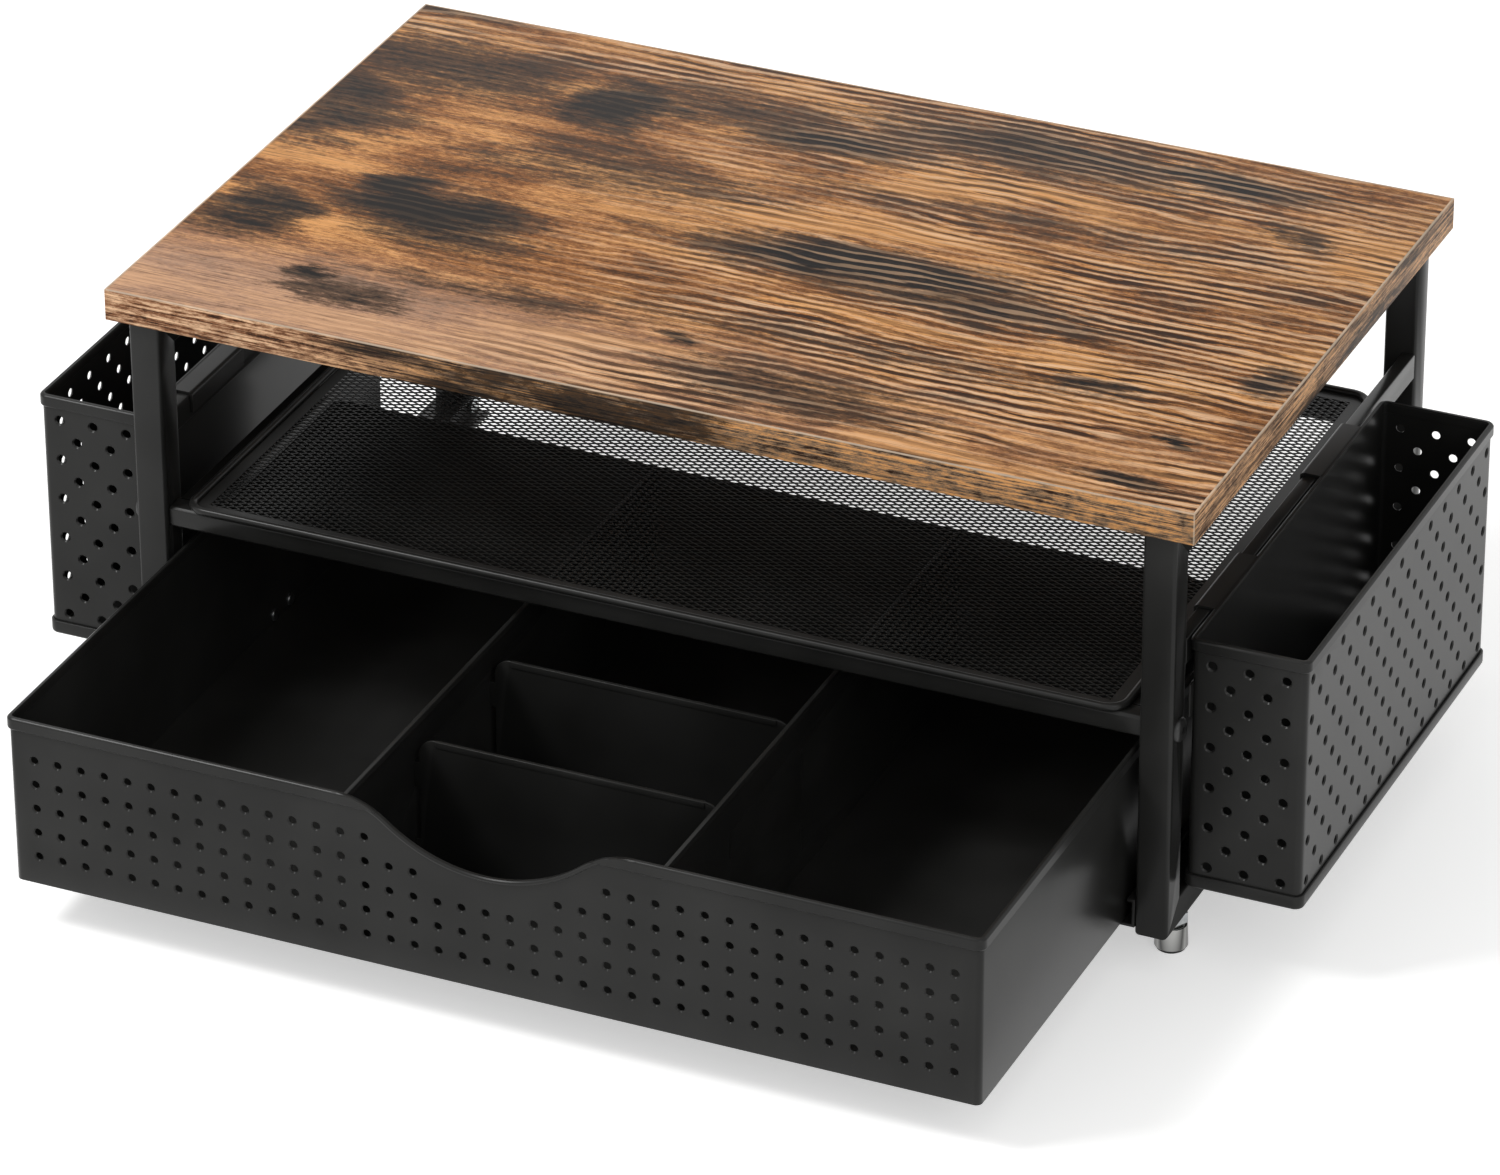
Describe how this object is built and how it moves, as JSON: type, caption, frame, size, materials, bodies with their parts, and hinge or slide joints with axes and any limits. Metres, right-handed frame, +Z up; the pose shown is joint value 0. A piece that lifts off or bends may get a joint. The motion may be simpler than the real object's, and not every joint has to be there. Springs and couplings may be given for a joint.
{
  "type": "monitor riser with drawer",
  "caption": "Wood-effect board on black square-tube side frames, with a mesh shelf, a perforated sliding drawer and hanging pen holders at the ends.",
  "frame": {"origin": "on the desk, in the middle of the overall box with the drawer open as in the picture", "axes": "+X to the right along the width, -Y towards the front where the drawer opens, +Z up"},
  "size_m": [0.603, 0.476, 0.231],
  "materials": {
    "board_face": "matte printed wood grain",
    "board_edge": "matte printed wood grain",
    "frame_coat": "satin black powder coat",
    "shelf_coat": "satin black powder coat",
    "drawer_coat": "satin black powder coat",
    "holder_coat": "satin black powder coat",
    "foot_chrome": "polished",
    "foot_rubber": "matte",
    "black_bolt": "satin black",
    "zinc_fastener": "zinc plated",
    "glide_nylon": "matte nylon"
  },
  "bodies": {
    "frame": {"board_screws": "zinc_fastener", "foot_nuts": "zinc_fastener", "front_edge_band": "board_edge", "left_bottom_rail": "frame_coat", "left_edge_band": "board_edge", "left_front_leg": "frame_coat", "left_hanger_bar": "frame_coat", "left_rear_leg": "frame_coat", "left_runner": "frame_coat", "left_shelf_bar": "frame_coat", "left_top_rail": "frame_coat", "rear_edge_band": "board_edge", "right_bottom_rail": "frame_coat", "right_edge_band": "board_edge", "right_front_leg": "frame_coat", "right_hanger_bar": "frame_coat", "right_rear_leg": "frame_coat", "right_runner": "frame_coat", "right_shelf_bar": "frame_coat", "right_top_rail": "frame_coat", "runner_screws": "zinc_fastener", "shelf_bolts": "black_bolt", "shelf_front_bar": "frame_coat", "shelf_mesh": "shelf_coat", "shelf_rear_bar": "frame_coat", "shelf_rim": "shelf_coat", "top_board": "board_face"},
    "drawer": {"drawer_floor": "drawer_coat", "drawer_front": "drawer_coat", "drawer_glides": "glide_nylon", "drawer_left_side": "drawer_coat", "drawer_rear": "drawer_coat", "drawer_right_side": "drawer_coat", "front_cross_divider": "drawer_coat", "glide_rivets": "black_bolt", "left_long_divider": "drawer_coat", "rear_cross_divider": "drawer_coat", "right_long_divider": "drawer_coat"},
    "left_holder": {"left_holder_base_pan": "holder_coat", "left_holder_front_wall": "holder_coat", "left_holder_inner_wall": "holder_coat", "left_holder_outer_wall": "holder_coat", "left_holder_rear_wall": "holder_coat"},
    "right_holder": {"right_holder_base_pan": "holder_coat", "right_holder_front_wall": "holder_coat", "right_holder_inner_wall": "holder_coat", "right_holder_outer_wall": "holder_coat", "right_holder_rear_wall": "holder_coat"},
    "left_front_foot": {"left_front_foot": "foot_chrome", "left_front_foot_pad": "foot_rubber"},
    "left_rear_foot": {"left_rear_foot": "foot_chrome", "left_rear_foot_pad": "foot_rubber"},
    "right_front_foot": {"right_front_foot": "foot_chrome", "right_front_foot_pad": "foot_rubber"},
    "right_rear_foot": {"right_rear_foot": "foot_chrome", "right_rear_foot_pad": "foot_rubber"}
  },
  "joints": [
    {"name": "drawer_slide", "type": "slide", "parent": "frame", "child": "drawer", "axis": [0, -1, 0], "range_m": [-0.156, 0.06]},
    {"name": "left_holder_lift", "type": "slide", "parent": "frame", "child": "left_holder", "axis": [0, 0, 1], "range_m": [0, 0.014]},
    {"name": "right_holder_lift", "type": "slide", "parent": "frame", "child": "right_holder", "axis": [0, 0, 1], "range_m": [0, 0.014]},
    {"name": "left_front_foot_height", "type": "slide", "parent": "frame", "child": "left_front_foot", "axis": [0, 0, -1], "range_m": [0, 0.006]},
    {"name": "left_rear_foot_height", "type": "slide", "parent": "frame", "child": "left_rear_foot", "axis": [0, 0, -1], "range_m": [0, 0.006]},
    {"name": "right_front_foot_height", "type": "slide", "parent": "frame", "child": "right_front_foot", "axis": [0, 0, -1], "range_m": [0, 0.006]},
    {"name": "right_rear_foot_height", "type": "slide", "parent": "frame", "child": "right_rear_foot", "axis": [0, 0, -1], "range_m": [0, 0.006]}
  ]
}
